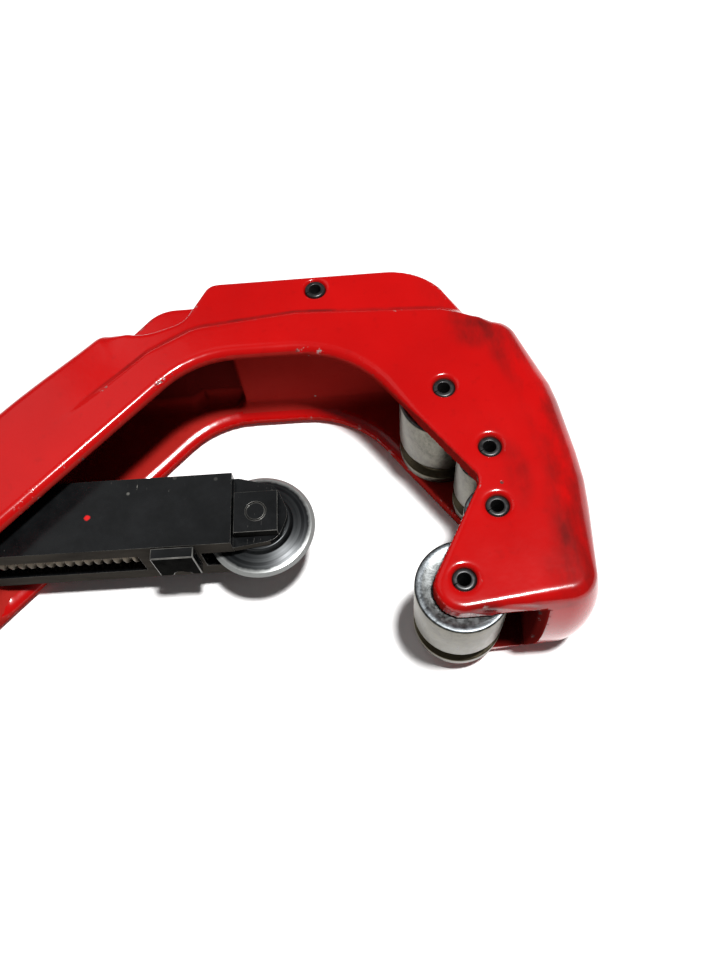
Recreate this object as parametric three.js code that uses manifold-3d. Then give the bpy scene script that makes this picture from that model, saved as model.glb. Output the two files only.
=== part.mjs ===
// A quick-acting tube cutter, lying on its side. Millimetres, +Z up.
// The cutter's own coordinates are used throughout: X runs along the feed direction towards
// the jaw, Y towards the back of the frame, and Z is zero on the cutter's middle plane.
// X = 0 is the line through the two outer roller pins. The last lines of the file move the
// whole assembly so that its origin is on the underside of the jaw.
import * as THREE from 'three';
import { mergeVertices } from 'three/addons/utils/BufferGeometryUtils.js';
import Module from 'manifold-3d';

const wasm = await Module();
wasm.setup();

// ---------------------------------------------------------------- driving dimensions
const HALF_THICK = 16.25; // frame, each side of the middle plane
const FLANGE = 4.1; // thickness of each flange of the frame's channel
const CHANNEL = HALF_THICK - FLANGE; // half width of the channel between the flanges
const PANEL_DROP = 1.3; // how far the back panel lies below the flange's face
const EDGE = { rise: 2.6, inset: 1.3 }; // rounding of the frame's outer edges
const RIB = 6.8; // half thickness of the rib that shows in the finger scoops
const BACK_Y = 55.6; // top of the fin that holds the reamer
const JAW_END_Y = -29.3;
const HOUSING = { x0: -168, x1: -105, top: 14.5, bottom: -24 };

const GAP = 0.3; // running and assembly clearance
const OUTER_PIN = { x: 0, y: 21.9 }; // outer rollers, mirrored in Y
const INNER_PIN = { x: 8.2, y: 6.8 }; // inner rollers, mirrored in Y
const PIN_R = 2.38; // 3/16 inch spring pins
const PIN_BORE = 1.3;
const OUTER_ROLLER_R = 9.7;
const INNER_ROLLER_R = 6.6;
const ROLLER_HALF = 11.85;
const FLARE_GROOVE = { z0: -9.1, z1: -4.7, depth: 1.9 };

const REAMER = { x: -27.4, y: 51.9, half: 1.2, tail: 4.6 };

const SLIDE = { front: -47.2, rear: -199, halfHeight: 8.25, halfThick: 8.5 };
const SLOT = { x0: -180, x1: -68, half: 4 };
const SCREW = { y: -3.6, r: 3.97, front: -65, rear: -189.5, journal: 2.4, neck: 3 };
const BLOCK = { x0: -64.2, x1: -55, y0: -10.9, z0: -1.4 };
const WHEEL = { x: -42, y: -1.2, r: 12, hubR: 7.2, hubHalf: 3.3, bore: 2.7 };
const EAR = { nearTop: 5.5, nearBottom: 3.6, farTop: -3.6 };
const WHEEL_PIN = { r: 2.45, head: 9.4, headTop: 8.3, end: -10.9 };
const CLIP = { z: -9.8 };
const KNOB = { front: -200.7, collarEnd: -209, rear: -240, collarR: 8.6, r: 15.3 };
const LEVER = { x: -124, y: -18, pinR: 2, half: 5, nutHalf: 3.6 };
const SPRING = { x: -114, r: 2.4, bottom: -19.8, top: -12 };

// ---------------------------------------------------------------- materials
const paint = new THREE.MeshStandardMaterial({ color: 0xc8140f, roughness: 0.35, metalness: 0.1 });
const zinc = new THREE.MeshStandardMaterial({ color: 0xa9a89c, roughness: 0.45, metalness: 0.9 });
const blackOxide = new THREE.MeshStandardMaterial({ color: 0x17191b, roughness: 0.4, metalness: 0.7 });
const toolSteel = new THREE.MeshStandardMaterial({ color: 0x8d8f8f, roughness: 0.3, metalness: 1 });
const bronze = new THREE.MeshStandardMaterial({ color: 0x9a7440, roughness: 0.5, metalness: 0.9 });
const plastic = new THREE.MeshStandardMaterial({ color: 0x141414, roughness: 0.5, metalness: 0 });

// ---------------------------------------------------------------- shape helpers
function solid(geometry) {
  const bare = geometry.index ? geometry.toNonIndexed() : geometry.clone();
  bare.deleteAttribute('normal');
  bare.deleteAttribute('uv');
  const merged = mergeVertices(bare, 1e-4);
  const mesh = new wasm.Mesh({
    numProp: 3,
    vertProperties: new Float32Array(merged.attributes.position.array),
    triVerts: new Uint32Array(merged.index.array),
  });
  return new wasm.Manifold(mesh);
}

function geometryOf(body) {
  const { vertProperties, triVerts } = body.getMesh();
  const geometry = new THREE.BufferGeometry();
  geometry.setAttribute('position', new THREE.BufferAttribute(vertProperties, 3));
  geometry.setIndex(new THREE.BufferAttribute(triVerts, 1));
  const flat = geometry.toNonIndexed();
  flat.computeVertexNormals();
  return flat;
}

// Turns corners [x, y, radius] into an outline whose corners are round where radius > 0.
function outline(corners, stepDegrees = 15) {
  const points = [];
  corners.forEach(([x, y, radius = 0], i) => {
    const corner = new THREE.Vector2(x, y);
    if (radius === 0) {
      points.push(corner);
      return;
    }
    const before = new THREE.Vector2(...corners.at(i - 1).slice(0, 2)).sub(corner).normalize();
    const after = new THREE.Vector2(...corners[(i + 1) % corners.length].slice(0, 2)).sub(corner).normalize();
    const half = Math.acos(before.dot(after)) / 2;
    const centre = before.clone().add(after).normalize().multiplyScalar(radius / Math.sin(half)).add(corner);
    const reach = radius / Math.tan(half);
    const start = before.multiplyScalar(reach).add(corner).sub(centre);
    const end = after.multiplyScalar(reach).add(corner).sub(centre);
    const sweep = Math.atan2(start.cross(end), start.dot(end));
    const steps = Math.max(1, Math.round(Math.abs(THREE.MathUtils.radToDeg(sweep)) / stepDegrees));
    for (let k = 0; k <= steps; k += 1) {
      points.push(start.clone().rotateAround(new THREE.Vector2(), (sweep * k) / steps).add(centre));
    }
  });
  return points;
}

function plate(points, z0, z1) {
  const geometry = new THREE.ExtrudeGeometry(new THREE.Shape(points), { depth: z1 - z0, bevelEnabled: false });
  return solid(geometry.translate(0, 0, z0));
}

// A plate, centred on Z, whose edges are rounded off on both faces.
function roundedPlate(points, half, rise, inset) {
  const geometry = new THREE.ExtrudeGeometry(new THREE.Shape(points), {
    depth: 2 * (half - rise),
    bevelThickness: rise,
    bevelSize: inset,
    bevelOffset: -inset,
    bevelSegments: 2,
  });
  return solid(geometry.translate(0, 0, rise - half));
}

function block(x0, x1, y0, y1, z0, z1) {
  const geometry = new THREE.BoxGeometry(x1 - x0, y1 - y0, z1 - z0);
  return solid(geometry.translate((x0 + x1) / 2, (y0 + y1) / 2, (z0 + z1) / 2));
}

// Rods along Z, X and Y.
function rodZ(x, y, radius, z0, z1, sides = 24) {
  const geometry = new THREE.CylinderGeometry(radius, radius, z1 - z0, sides);
  return solid(geometry.rotateX(Math.PI / 2).translate(x, y, (z0 + z1) / 2));
}

function rodX(y, z, radius, x0, x1, sides = 24) {
  const geometry = new THREE.CylinderGeometry(radius, radius, x1 - x0, sides);
  return solid(geometry.rotateZ(Math.PI / 2).translate((x0 + x1) / 2, y, z));
}

function rodY(x, z, radius, y0, y1, sides = 20) {
  const geometry = new THREE.CylinderGeometry(radius, radius, y1 - y0, sides);
  return solid(geometry.translate(x, (y0 + y1) / 2, z));
}

// A turned ring from [radius, height] points on a closed profile, standing along Z.
function turnedZ(profile, x, y, sides) {
  const closed = [...profile, profile[0]].map(([r, h]) => new THREE.Vector2(r, h));
  const geometry = new THREE.LatheGeometry(closed, sides);
  return solid(geometry.rotateX(Math.PI / 2).translate(x, y, 0));
}

const assembly = new THREE.Group();

function add(name, body, material) {
  const mesh = new THREE.Mesh(geometryOf(body), material);
  mesh.name = name;
  assembly.add(mesh);
}

// ---------------------------------------------------------------- frame
// The leg runs at 45 degrees from the housing up to the arch, the arch carries the
// reamer's fin, and the jaw comes down from it to the lower outer roller.
const LEG_BACK = 122.5; // y - x along the leg's back edge
const LEG_INNER = 88.5; // y - x along the leg's inner edge
const LEG_WEB = 116.5; // y - x along the inner face of the leg's web

function makeFrame() {
  const silhouette = outline([
    [HOUSING.x0, HOUSING.top, 7],
    [HOUSING.x0, -17, 6],
    [-150, HOUSING.bottom, 24],
    [HOUSING.bottom - LEG_INNER, HOUSING.bottom, 9],
    [-54.7, 33.3, 22],
    [-21, 33.3, 25],
    [6.7, 0.3, 2.5],
    [-10.7, JAW_END_Y, 6.4],
    [27.6, JAW_END_Y, 8],
    [29.4, 0, 60],
    [25.6, 24, 30],
    [17.2, 39.2, 14],
    [8.3, 42, 6],
    [-3.2, BACK_Y + 0.3, 16],
    [-52.5, BACK_Y, 3.5],
    [-58.2, 45.2, 6],
    [-67.5, 42, 12],
    [-77.8, LEG_BACK - 77.8, 4],
    [HOUSING.top - LEG_BACK, HOUSING.top, 22],
  ]);
  const rib = outline([[-76, 40], [-73.5, 47.5, 3], [-66.5, BACK_Y, 9], [-48, BACK_Y], [-48, 40]]);
  const channel = outline([
    [HOUSING.x1, -40],
    [14, -40],
    [14, -18],
    [17, -9, 5],
    [17, 9, 8],
    [12, 30, 8],
    [3, 38, 8],
    [-23, 37.6],
    [-47.5, 37.6],
    [-47.5, 41.2],
    [-58, 41.2],
    [-61, 39.2],
    [39.2 - LEG_WEB, 39.2, 6],
    [HOUSING.x1, LEG_WEB + HOUSING.x1],
  ]);
  const panel = outline([
    [-87, 15.7],
    [-65.5, 36.2],
    [-55, 42, 10],
    [-32, 44.4],
    [0.8, 42.8],
    [14, 39],
    [14, 70],
    [-60, 70],
    [-125, 20],
  ]);
  const reamerSlot = outline([[-70.3, 70], [-70.3, 47.5, 2], [-62, 45.2], [-13, 45.2, 3], [-13, 70]]);

  let body = roundedPlate(silhouette, HALF_THICK, EDGE.rise, EDGE.inset);
  body = body.add(plate(rib, -RIB, RIB));
  body = body.subtract(plate(channel, -CHANNEL, CHANNEL));
  body = body.subtract(plate(panel, HALF_THICK - PANEL_DROP, HALF_THICK + 1));
  body = body.subtract(plate(panel, -HALF_THICK - 1, PANEL_DROP - HALF_THICK));
  body = body.subtract(plate(reamerSlot, -REAMER.half - GAP, REAMER.half + GAP));

  // Sleeve for the slide, and the release lever's pocket below it.
  const passY = SLIDE.halfHeight + GAP;
  const passZ = SLIDE.halfThick + GAP;
  body = body.subtract(block(HOUSING.x0 - 1, HOUSING.x1 + 1, -passY, passY, -passZ, passZ));
  body = body.subtract(block(-150, HOUSING.x1 + 1, -40, -13, -LEVER.half - GAP, LEVER.half + GAP));
  body = body.subtract(block(-149, -128.5, -14, -8, -SLOT.half, SLOT.half));
  body = body.subtract(rodY(SPRING.x, 0, 3.6, -14, -10.5));

  for (const side of [1, -1]) {
    for (const pin of [OUTER_PIN, INNER_PIN]) {
      body = body.subtract(rodZ(pin.x, side * pin.y, PIN_R + 0.05, -20, 20));
      body = body.subtract(rodZ(pin.x, side * pin.y, PIN_R + 0.55, HALF_THICK - 0.5, 20));
      body = body.subtract(rodZ(pin.x, side * pin.y, PIN_R + 0.55, -20, 0.5 - HALF_THICK));
    }
  }
  body = body.subtract(rodZ(REAMER.x, REAMER.y, PIN_R + 0.05, -20, 20));
  body = body.subtract(rodZ(LEVER.x, LEVER.y, LEVER.pinR + 0.05, -20, 20));
  return body;
}

// ---------------------------------------------------------------- pins and rollers
// A spring pin is a rolled tube with a slit along it.
function springPin(x, y, radius, half) {
  const tube = rodZ(x, y, radius, -half, half).subtract(rodZ(x, y, PIN_BORE, -half - 1, half + 1, 16));
  return tube.subtract(block(x, x + radius + 1, y - 0.4, y + 0.4, -half - 1, half + 1));
}

function roller(x, y, radius) {
  const bore = PIN_R + 0.1;
  const floor = radius - FLARE_GROOVE.depth;
  const profile = [
    [bore, -ROLLER_HALF],
    [radius - 0.5, -ROLLER_HALF],
    [radius, 0.5 - ROLLER_HALF],
    [radius, FLARE_GROOVE.z0],
    [floor, FLARE_GROOVE.z0 + 0.6],
    [floor, FLARE_GROOVE.z1 - 0.6],
    [radius, FLARE_GROOVE.z1],
    [radius, ROLLER_HALF - 0.5],
    [radius - 0.5, ROLLER_HALF],
    [bore, ROLLER_HALF],
  ];
  return turnedZ(profile, x, y, 28);
}

// ---------------------------------------------------------------- slide and cutter wheel
function makeSlide() {
  const { front, rear, halfHeight, halfThick } = SLIDE;
  const ear = outline([[-52, halfHeight], [-36, 6.4, 5], [-35.6, -6.8, 5], [-52, -halfHeight]]);
  let body = block(rear, front, -halfHeight, halfHeight, -halfThick, halfThick);
  body = body.add(plate(ear, EAR.nearBottom - 1, EAR.nearTop));
  body = body.add(plate(ear, -halfThick, EAR.farTop + 1));
  body = body.subtract(block(-54.5, -30, -20, 20, EAR.farTop, EAR.nearBottom));
  body = body.subtract(rodZ(WHEEL.x, WHEEL.y, WHEEL_PIN.r + 0.15, -12, 12, 20));

  // The screw's bore runs from the bearing block to the rear end, open along a slot.
  body = body.subtract(rodX(SCREW.y, 0, SCREW.r + GAP, rear - 1, BLOCK.x0 + 1, 20));
  body = body.subtract(block(SLOT.x0, SLOT.x1, -halfHeight - 1, SCREW.y, -SLOT.half, SLOT.half));
  return body.subtract(block(BLOCK.x0 + 0.4, -56, -halfHeight - 1, 0, -3.2, SLOT.half));
}

// The block carries the screw's front end, and its pad stops the slide at the housing.
function makeBearingBlock() {
  const padTop = -SLIDE.halfHeight - 0.15;
  const pad = block(BLOCK.x0, BLOCK.x1, BLOCK.y0, padTop, BLOCK.z0, SLIDE.halfThick - 0.1);
  const stem = block(BLOCK.x0 + 0.7, -56.3, padTop - 0.5, -0.3, -2.9, SLOT.half - GAP);
  const dimple = rodY(-59.2, BLOCK.z0, 1.9, BLOCK.y0 - 1, BLOCK.y0 + 1, 16);
  return pad.add(stem).subtract(dimple).subtract(rodX(SCREW.y, 0, SCREW.journal + 0.15, -70, -57, 20));
}

function makeCutterWheel() {
  const { bore, hubR, hubHalf, r } = WHEEL;
  const profile = [
    [bore, -hubHalf],
    [hubR - 0.4, -hubHalf],
    [hubR, 0.4 - hubHalf],
    [hubR, -1.5],
    [11.2, -0.55],
    [r, 0],
    [11.2, 0.55],
    [hubR, 1.5],
    [hubR, hubHalf - 0.4],
    [hubR - 0.4, hubHalf],
    [bore, hubHalf],
  ];
  return turnedZ(profile, WHEEL.x, WHEEL.y, 40);
}

function makeWheelPin() {
  const { r, head, headTop, end } = WHEEL_PIN;
  const { x, y } = WHEEL;
  const half = head / 2;
  const plateHead = block(x - half, x + half, y - half, y + half, EAR.nearTop + 0.1, headTop);
  const shank = rodZ(x, y, r, end, EAR.nearTop + 1);
  const groove = rodZ(x, y, r + 2, CLIP.z - 0.2, CLIP.z + 0.8).subtract(rodZ(x, y, r - 0.6, -12, -6));
  return plateHead.add(shank).subtract(groove).subtract(rodZ(x, y, 2.3, headTop - 0.5, headTop + 1, 20));
}

function makeWheelClip() {
  const { x, y } = WHEEL;
  const ring = rodZ(x, y, 4.2, CLIP.z, CLIP.z + 0.6).subtract(rodZ(x, y, WHEEL_PIN.r - 0.4, -12, -6));
  return ring.subtract(block(x - 1.5, x + 1.5, y - 6, y, -12, -6));
}

// ---------------------------------------------------------------- feed screw and knob
function makeFeedScrew() {
  const { y, r, front, rear, journal, neck } = SCREW;
  const thread = rodX(y, 0, r, rear, front);
  const nose = rodX(y, 0, journal, front - 1, front + 7.5);
  const tail = rodX(y, 0, neck, -228, rear + 1);
  return thread.add(nose).add(tail).subtract(rodZ(-205, y, 1.45, -10, 10, 12));
}

function makeScrewBush() {
  const sleeve = rodX(SCREW.y, 0, SCREW.r + 0.15, -198.6, -190);
  return sleeve.subtract(rodX(SCREW.y, 0, SCREW.neck + 0.15, -202, -188));
}

function makeThrustWasher() {
  return rodX(SCREW.y, 0, 6.6, -200.4, -199.3).subtract(rodX(SCREW.y, 0, SCREW.neck + 0.2, -202, -198));
}

function makeKnob() {
  const { front, collarEnd, rear, collarR, r } = KNOB;
  const profile = [
    [0, rear], [r - 3, rear], [r - 0.8, rear + 1.4], [r, rear + 4],
    [r, collarEnd - 3], [r - 1.5, collarEnd - 0.6], [collarR, collarEnd + 1],
    [collarR, front - 1], [collarR - 1, front], [0, front],
  ].map(([radius, x]) => new THREE.Vector2(radius, x));
  const turned = new THREE.LatheGeometry(profile, 36).rotateZ(-Math.PI / 2);
  let body = solid(turned.translate(0, SCREW.y, 0));
  const flutes = 8;
  for (let k = 0; k < flutes; k += 1) {
    const angle = ((k + 0.5) * 2 * Math.PI) / flutes;
    const reach = r + 2.6;
    const y = SCREW.y + reach * Math.cos(angle);
    body = body.subtract(rodX(y, reach * Math.sin(angle), 4, rear - 1, collarEnd + 1, 14));
  }
  body = body.subtract(rodX(SCREW.y, 0, SCREW.neck + 0.2, -228.5, front + 1));
  return body.subtract(rodZ(-205, SCREW.y, 1.45, -10, 10, 12));
}

// ---------------------------------------------------------------- reamer and release lever
function makeReamer() {
  const { x, y, tail, half } = REAMER;
  const blade = outline([
    [x, y + tail],
    [-46, 57.4],
    [-62, 56.6, 4],
    [-69.4, 50.8, 0.8],
    [-62, 46.8, 4],
    [x, y - tail],
  ]);
  const body = plate(blade, -half, half).add(rodZ(x, y, tail, -half, half));
  return body.subtract(rodZ(x, y, PIN_R + 0.15, -half - 1, half + 1));
}

// A rocker: the half nut stands under the feed screw, and the tab is pressed to lift it out.
function makeReleaseLever() {
  const { x, y, half, nutHalf, pinR } = LEVER;
  const rocker = outline([
    [-148, -14.4, 2], [-148, -22.6, 3], [-121, -22.6], [-117, -27, 3], [-106.6, -27, 3], [-106.6, -16.4, 3],
    [-119.5, -16.4], [-122, -14.4],
  ]);
  let body = plate(rocker, -half, half);
  body = body.add(block(-146, -131, -16, -5.6, -nutHalf, nutHalf));
  body = body.subtract(rodX(SCREW.y, 0, SCREW.r + 0.15, -160, -120));
  body = body.subtract(rodY(SPRING.x, 0, SPRING.r + 0.4, -20, -14));
  return body.subtract(rodZ(x, y, pinR + 0.15, -12, 12));
}

function makeLeverSpring() {
  const coil = rodY(SPRING.x, 0, SPRING.r, SPRING.bottom, SPRING.top, 16);
  return coil.subtract(rodY(SPRING.x, 0, SPRING.r - 0.7, SPRING.bottom - 1, SPRING.top + 1, 12));
}

// ---------------------------------------------------------------- assembly
add('frame', makeFrame(), paint);

const rollers = [
  ['upper_outer', OUTER_PIN.x, OUTER_PIN.y, OUTER_ROLLER_R],
  ['upper_inner', INNER_PIN.x, INNER_PIN.y, INNER_ROLLER_R],
  ['lower_inner', INNER_PIN.x, -INNER_PIN.y, INNER_ROLLER_R],
  ['lower_outer', OUTER_PIN.x, -OUTER_PIN.y, OUTER_ROLLER_R],
];
for (const [place, x, y, radius] of rollers) {
  add(`${place}_roller`, roller(x, y, radius), zinc);
  add(`${place}_roller_pin`, springPin(x, y, PIN_R, HALF_THICK - 0.4), blackOxide);
}

add('reamer_blade', makeReamer(), toolSteel);
add('reamer_pin', springPin(REAMER.x, REAMER.y, PIN_R, HALF_THICK - PANEL_DROP - 0.2), blackOxide);

add('slide', makeSlide(), blackOxide);
add('screw_bearing_block', makeBearingBlock(), blackOxide);
add('screw_bush', makeScrewBush(), bronze);
add('cutter_wheel', makeCutterWheel(), toolSteel);
add('wheel_pin', makeWheelPin(), blackOxide);
add('wheel_pin_clip', makeWheelClip(), toolSteel);

add('feed_screw', makeFeedScrew(), toolSteel);
add('thrust_washer', makeThrustWasher(), zinc);
add('knob', makeKnob(), plastic);
add('knob_pin', rodZ(-205, SCREW.y, 1.3, -KNOB.collarR - 0.3, KNOB.collarR + 0.3, 16), blackOxide);

add('release_lever', makeReleaseLever(), blackOxide);
add('release_lever_pin', rodZ(LEVER.x, LEVER.y, LEVER.pinR, -HALF_THICK + 0.3, HALF_THICK - 0.3), blackOxide);
add('release_spring', makeLeverSpring(), toolSteel);

// The origin is on the underside of the jaw, on the feed axis, 16 mm in front of the pins.
assembly.position.set(-16, 0, HALF_THICK);

export default assembly;
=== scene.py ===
"""A red quick-acting tube cutter lying on its side on a white table.

Shapes are worked out in millimetres in the cutter's own coordinates: X along the feed
towards the jaw, Y towards the back of the frame, Z zero on the cutter's middle plane.
"""
import math

import bmesh
import bpy
import numpy as np
from mathutils import Matrix, Vector


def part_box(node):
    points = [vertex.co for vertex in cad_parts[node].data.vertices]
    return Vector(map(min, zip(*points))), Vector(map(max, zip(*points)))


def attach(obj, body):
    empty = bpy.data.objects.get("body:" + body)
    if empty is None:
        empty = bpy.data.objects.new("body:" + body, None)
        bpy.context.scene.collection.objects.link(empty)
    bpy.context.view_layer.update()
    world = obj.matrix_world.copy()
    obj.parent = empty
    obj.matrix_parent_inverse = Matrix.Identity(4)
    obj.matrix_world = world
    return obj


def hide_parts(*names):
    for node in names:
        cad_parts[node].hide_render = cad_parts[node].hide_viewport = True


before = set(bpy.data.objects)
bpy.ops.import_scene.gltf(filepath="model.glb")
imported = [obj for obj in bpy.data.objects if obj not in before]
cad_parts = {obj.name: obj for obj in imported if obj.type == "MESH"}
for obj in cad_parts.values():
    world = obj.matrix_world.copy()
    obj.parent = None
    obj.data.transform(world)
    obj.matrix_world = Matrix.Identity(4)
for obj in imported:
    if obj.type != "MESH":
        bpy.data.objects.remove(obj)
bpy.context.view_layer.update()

MM = 0.001
ORIGIN_SHIFT = np.array((-16.0, 0.0, 16.25))  # from the cutter's own coordinates to the row frame

HALF_THICK = 16.25  # frame, each side of the middle plane
CHANNEL = 12.15  # half width of the channel between the frame's two flanges
PANEL_DROP = 1.5  # how far the back panel lies below the flanges' faces
RIB_HALF = 6.8  # half thickness of the rib in the finger scoop
REAMER_SLOT_HALF = 1.5
CLEARANCE = 0.3
CASTING_BOX = ((-170.0, -31.0, -17.5), (31.0, 58.0, 17.5))
CASTING_STEP = 0.5  # spacing of the grid that the casting is worked out on

PIN_R = 2.38  # 3/16 inch spring pins
PIN_BORE = 1.35
ROLLER_PINS = ((0.0, 21.9), (8.2, 6.8), (8.2, -6.8), (0.0, -21.9))
PLACES = ("upper_outer", "upper_inner", "lower_inner", "lower_outer")
REAMER_PIN = (-27.4, 51.9)
LEVER_PIN = (-124.0, -18.0)
LEVER_PIN_HOLE = 2.0
ROLLER_HALF = 11.85
GROOVE_LOW, GROOVE_HIGH, GROOVE_DEPTH = -9.1, -4.7, 1.9  # room for a flared tube's end

SLIDE_FRONT, SLIDE_REAR = -47.2, -199
SLIDE_HALF_Y = 8.25
SLIDE_HALF_Z = 8.5
SCREW_Y = -3.6
SCREW_R = 3.97
SCREW_FRONT, SCREW_REAR = -65, -189.5
THREAD_PITCH = 25.4 / 12
THREAD_DEPTH = 0.95
WHEEL = np.array((-42.0, -1.2, 0.0))
EAR_TOP, EAR_BOTTOM, EAR_FAR = 5.5, 3.6, -3.6
HEAD_TOP = 8.3  # top of the wheel pin's square head
KNOB_PIN_X = -205
SPRING_X = -114


# ------------------------------------------------------------------ numbers and outlines
def smoothstep(low, high, x):
    t = np.clip((x - low) / (high - low), 0.0, 1.0)
    return t * t * (3 - 2 * t)


def rounded_outline(corners, step_degrees=7.5):
    """Points of a closed outline from corners (x, y, radius, *extras); extras go to each point."""
    rows = []
    count = len(corners)
    for i, corner in enumerate(corners):
        here = np.array(corner[:2], float)
        radius = corner[2]
        extras = list(corner[3:])
        if radius == 0:
            rows.append([*here, *extras])
            continue
        before = np.array(corners[i - 1][:2], float) - here
        after = np.array(corners[(i + 1) % count][:2], float) - here
        before /= np.linalg.norm(before)
        after /= np.linalg.norm(after)
        half = math.acos(np.clip(before @ after, -1, 1)) / 2
        middle = before + after
        centre = here + middle / np.linalg.norm(middle) * radius / math.sin(half)
        start = here + before * radius / math.tan(half) - centre
        end = here + after * radius / math.tan(half) - centre
        sweep = math.atan2(start[0] * end[1] - start[1] * end[0], start @ end)
        steps = max(1, round(abs(math.degrees(sweep)) / step_degrees))
        for k in range(steps + 1):
            angle = sweep * k / steps
            c, s = math.cos(angle), math.sin(angle)
            point = centre + (c * start[0] - s * start[1], s * start[0] + c * start[1])
            rows.append([*point, *extras])
    return np.array(rows)


def outline_distance(outline, x, y):
    """Signed distance to a closed outline, negative inside, and the nearest point's extras."""
    best = np.full(x.shape, np.inf)
    inside = np.zeros(x.shape, bool)
    extras = np.zeros((outline.shape[1] - 2,) + x.shape)
    for a, b in zip(outline, np.roll(outline, -1, axis=0)):
        ab = b[:2] - a[:2]
        length2 = ab @ ab
        if length2 < 1e-12:
            continue
        t = np.clip(((x - a[0]) * ab[0] + (y - a[1]) * ab[1]) / length2, 0, 1)
        gap = (x - a[0] - t * ab[0]) ** 2 + (y - a[1] - t * ab[1]) ** 2
        nearer = gap < best
        best = np.where(nearer, gap, best)
        for k in range(len(extras)):
            value = a[2 + k] + t * (b[2 + k] - a[2 + k])
            extras[k] = np.where(nearer, value, extras[k])
        crosses = (a[1] > y) != (b[1] > y)
        with np.errstate(divide="ignore", invalid="ignore"):
            at = a[0] + (y - a[1]) / (b[1] - a[1]) * ab[0]
        inside ^= crosses & (x < at)
    distance = np.sqrt(best)
    return np.where(inside, -distance, distance), extras


# ------------------------------------------------------------------ solids as distance fields
def both(a, b, radius):
    """Where both fields are inside, with the outside edge between them rounded."""
    return np.minimum(np.maximum(a, b), -radius) + np.hypot(
        np.maximum(a + radius, 0), np.maximum(b + radius, 0)
    )


def either(a, b, radius):
    """Where either field is inside, with the inside corner between them filleted."""
    return -both(-a, -b, radius)


def field_mesh(field):
    """A field's zero surface: a vertex, in grid steps, in each cell that it crosses, and quads."""
    inside = field < 0
    shape = np.array(field.shape)
    count = np.zeros(shape - 1, np.int8)
    for offset in np.ndindex(2, 2, 2):
        window = tuple(slice(o, s - 1 + o) for o, s in zip(offset, shape))
        count += inside[window]
    active = (count > 0) & (count < 8)
    cells = np.argwhere(active)
    index = np.full(active.shape, -1, np.int64)
    index[active] = np.arange(len(cells))

    total = np.zeros((len(cells), 3))
    hits = np.zeros(len(cells))
    for axis in range(3):
        unit = np.eye(3, dtype=int)[axis]
        for u, v in np.ndindex(2, 2):
            a = cells.copy()
            a[:, (axis + 1) % 3] += u
            a[:, (axis + 2) % 3] += v
            fa = field[tuple(a.T)]
            fb = field[tuple((a + unit).T)]
            cross = (fa < 0) != (fb < 0)
            t = fa[cross] / (fa[cross] - fb[cross])
            total[cross] += a[cross] + t[:, None] * unit
            hits[cross] += 1
    points = total / hits[:, None]

    quads = []
    for axis in range(3):
        u, v = np.eye(3, dtype=int)[[(axis + 1) % 3, (axis + 2) % 3]]
        low = inside[tuple(slice(None, -1) if k == axis else slice(1, -1) for k in range(3))]
        high = inside[tuple(slice(1, None) if k == axis else slice(1, -1) for k in range(3))]
        start = np.argwhere(low != high) + u + v
        ring = [index[tuple((start - p).T)] for p in (u + v, v, 0 * u, u)]
        quad = np.stack(ring, axis=1)
        leaving = inside[tuple(start.T)]
        quad[~leaving] = quad[~leaving, ::-1]
        quads.append(quad)
    return points, np.concatenate(quads)


def sample(grid, points):
    """Trilinear value of a grid at points given in grid steps."""
    low = np.clip(np.floor(points).astype(int), 0, np.array(grid.shape) - 2)
    t = points - low
    value = 0
    for corner in np.ndindex(2, 2, 2):
        weight = np.prod([t[:, k] if c else 1 - t[:, k] for k, c in enumerate(corner)], axis=0)
        value = value + weight * grid[tuple((low + corner).T)]
    return value


# ------------------------------------------------------------------ the frame casting
# Edge styles along the silhouette: how far the face's edge is rounded inwards, how deep
# that rounding is, the same reach on the channel's side, the draft down to the face, and
# how much the face falls away towards the edge.
SOFT = (2.3, 2.05, 5.0, 0.0, 0.0)
END = (1.4, 1.4, 0.4, 0.8, 0.0)
CORNER = (2.2, 2.0, 0.4, 2.8, 0.0)
TIGHT = (0.5, 0.6, 0.4, 0.0, 0.0)
CRISP = (0.9, 0.9, 0.4, 0.0, 0.0)
BACK = (2.8, 2.4, 0.4, 0.4, 0.6)
SIDE = (5.4, 4.6, 0.4, 3.4, 0.25)
SHOULDER = (3.8, 3.3, 0.4, 2.3, 0.15)
NECK = (2.2, 2.0, 0.4, 1.2, 0.06)
HOUSING = (3.0, 3.0, 0.6, 0.3, 0.0)
RIM_HALF = (HALF_THICK - CHANNEL) / 2  # half of a flange's thickness

# Corners as x, y, radius and, along the silhouette, an edge style.
SILHOUETTE = (
    (-168, 14.5, 7, *HOUSING),
    (-168, -17, 6, *HOUSING),
    (-150, -24, 24, *HOUSING),
    (-112, -24, 9, *HOUSING),
    (-104.6, -15.6, 0, *SOFT),
    (-55, 34, 22, *SOFT),
    (-21, 34, 25, *SOFT),
    (-5.4, 13.9, 0, *TIGHT),
    (5.4, -0.6, 2.5, *TIGHT),
    (-11.6, -29.3, 6.4, *END),
    (27.6, -29.3, 8, *CORNER),
    (29.4, 0, 60, *SIDE),
    (25.6, 24, 30, *SIDE),
    (16.8, 41.2, 8, *SHOULDER),
    (8.2, 42.3, 3.5, *NECK),
    (-3.2, 55.9, 16, *CRISP),
    (-52.5, 55.6, 3.5, *CRISP),
    (-58.2, 45.2, 6, *CRISP),
    (-67.5, 42, 12, *CRISP),
    (-77.8, 44.7, 4, *BACK),
    (-108, 14.5, 22, *BACK),
)
RIB = ((-76, 40, 0), (-73.5, 47.5, 3), (-66.5, 55.4, 9), (-48, 55.6, 0), (-48, 40, 0))
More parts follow.
